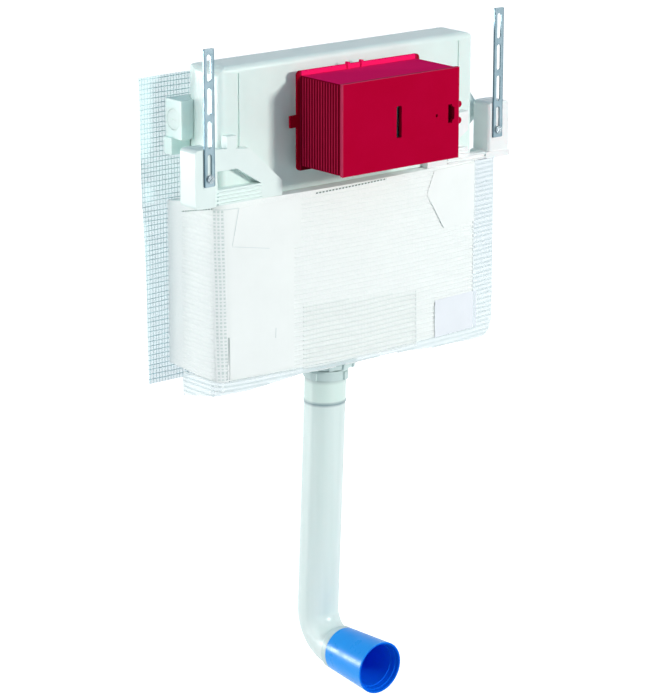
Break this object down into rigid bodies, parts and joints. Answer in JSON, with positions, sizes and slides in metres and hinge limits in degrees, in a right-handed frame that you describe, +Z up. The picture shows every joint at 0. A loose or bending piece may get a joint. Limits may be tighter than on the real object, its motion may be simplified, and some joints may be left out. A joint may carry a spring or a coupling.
{
  "type": "concealed toilet cistern",
  "caption": "Concealed toilet cistern for brickwork with a foam jacket, plaster mesh, slotted wall straps, a red access box and a capped flush pipe.",
  "frame": {"origin": "on the wall plane behind the mesh, in the middle of the tank, level with the foam's underside", "axes": "+X right seen from the front, +Y towards the wall, +Z up"},
  "size_m": [0.476, 0.1827, 0.8035],
  "materials": {
    "tank_plastic": "blow moulded, milky white",
    "foam": "expanded foam, white",
    "mesh": "glass fibre plaster mesh, white",
    "bracket_plastic": "moulded, white",
    "screw_steel": "zinc plated",
    "strap_steel": "galvanised",
    "box_red": "moulded, dark red",
    "lid_red": "moulded, red",
    "seal_rubber": "soft, black",
    "white_plastic": "moulded, white",
    "pipe_plastic": "extruded, milky white",
    "cap_blue": "moulded, blue",
    "grey_plastic": "moulded, pale grey",
    "pin_steel": "turned",
    "socket_brass": "turned",
    "handle_blue": "moulded, blue"
  },
  "bodies": {
    "cistern": {"tank": "tank_plastic", "inlet_block": "tank_plastic", "foam_jacket": "foam", "front_mesh": "mesh", "side_mesh": "mesh", "back_mesh": "mesh", "left_bracket": "bracket_plastic", "right_bracket": "bracket_plastic", "strap_screws": "screw_steel", "access_box": "box_red", "outlet_gasket": "seal_rubber", "pipe_seal": "seal_rubber", "outlet_nut": "white_plastic", "valve_base": "white_plastic", "lock_ring": "white_plastic", "flush_pipe": "pipe_plastic", "pipe_socket": "pipe_plastic", "valve_cage": "grey_plastic", "actuator_bridge": "white_plastic", "lever_pin": "pin_steel", "inlet_socket": "white_plastic", "inlet_nut": "white_plastic", "stop_valve_body": "socket_brass", "supply_tube": "grey_plastic", "fill_valve_body": "white_plastic", "fill_valve_cap": "grey_plastic", "arm_pin": "pin_steel", "port_plug": "bracket_plastic"},
    "lid": {"access_lid": "lid_red"},
    "cap": {"protective_cap": "cap_blue"},
    "strap_left": {"left_strap": "strap_steel"},
    "strap_right": {"right_strap": "strap_steel"},
    "flush_valve": {"overflow_tube": "grey_plastic", "flush_seal": "seal_rubber"},
    "full_lever": {"full_flush_lever": "grey_plastic"},
    "half_rod": {"half_flush_rod": "grey_plastic"},
    "half_lever": {"half_flush_lever": "grey_plastic"},
    "float": {"float_cup": "white_plastic"},
    "arm": {"valve_arm": "grey_plastic"},
    "stop_handle": {"stop_valve_handle": "handle_blue"},
    "blank": {"inlet_cover": "tank_plastic"}
  },
  "joints": [
    {"name": "lid_pull", "type": "slide", "parent": "cistern", "child": "lid", "axis": [0, -1, 0], "range_m": [0, 0.06]},
    {"name": "cap_pull", "type": "slide", "parent": "cistern", "child": "cap", "axis": [0, -0.9989, -0.0471], "range_m": [0, 0.16]},
    {"name": "inlet_cover_pull", "type": "slide", "parent": "cistern", "child": "blank", "axis": [-1, 0, 0], "range_m": [0, 0.08]},
    {"name": "left_strap_swing", "type": "hinge", "parent": "cistern", "child": "strap_left", "pos_m": [-0.217, -0.1062, 0.2444], "axis": [0, 1, 0], "range_deg": [-90, 35]},
    {"name": "right_strap_swing", "type": "hinge", "parent": "cistern", "child": "strap_right", "pos_m": [0.217, -0.1062, 0.2444], "axis": [0, -1, 0], "range_deg": [-90, 35]},
    {"name": "flush_valve_lift", "type": "slide", "parent": "cistern", "child": "flush_valve", "axis": [0, 0, 1], "range_m": [0, 0.0099]},
    {"name": "full_lever_press", "type": "hinge", "parent": "cistern", "child": "full_lever", "pos_m": [0, -0.076, 0.33], "axis": [1, 0, 0], "range_deg": [0, 20]},
    {"name": "half_rod_lift", "type": "slide", "parent": "cistern", "child": "half_rod", "axis": [0, 0, 1], "range_m": [0, 0.0099]},
    {"name": "half_lever_press", "type": "hinge", "parent": "cistern", "child": "half_lever", "pos_m": [0, -0.076, 0.33], "axis": [1, 0, 0], "range_deg": [0, 20]},
    {"name": "float_rise", "type": "slide", "parent": "cistern", "child": "float", "axis": [0, 0, 1], "range_m": [0, 0.014]},
    {"name": "valve_arm_turn", "type": "hinge", "parent": "cistern", "child": "arm", "pos_m": [-0.108, -0.03, 0.322], "axis": [0, -1, 0], "range_deg": [0, 30]},
    {"name": "stop_valve_turn", "type": "hinge", "parent": "cistern", "child": "stop_handle", "pos_m": [-0.14, -0.025, 0.298], "axis": [0, 1, 0], "range_deg": [0, 90]}
  ],
  "couplings": [
    {"joint": "full_lever_press", "follows": "flush_valve_lift", "rad_per_m": 35.088},
    {"joint": "half_lever_press", "follows": "half_rod_lift", "rad_per_m": 35.088},
    {"joint": "valve_arm_turn", "follows": "float_rise", "rad_per_m": 37.037}
  ]
}
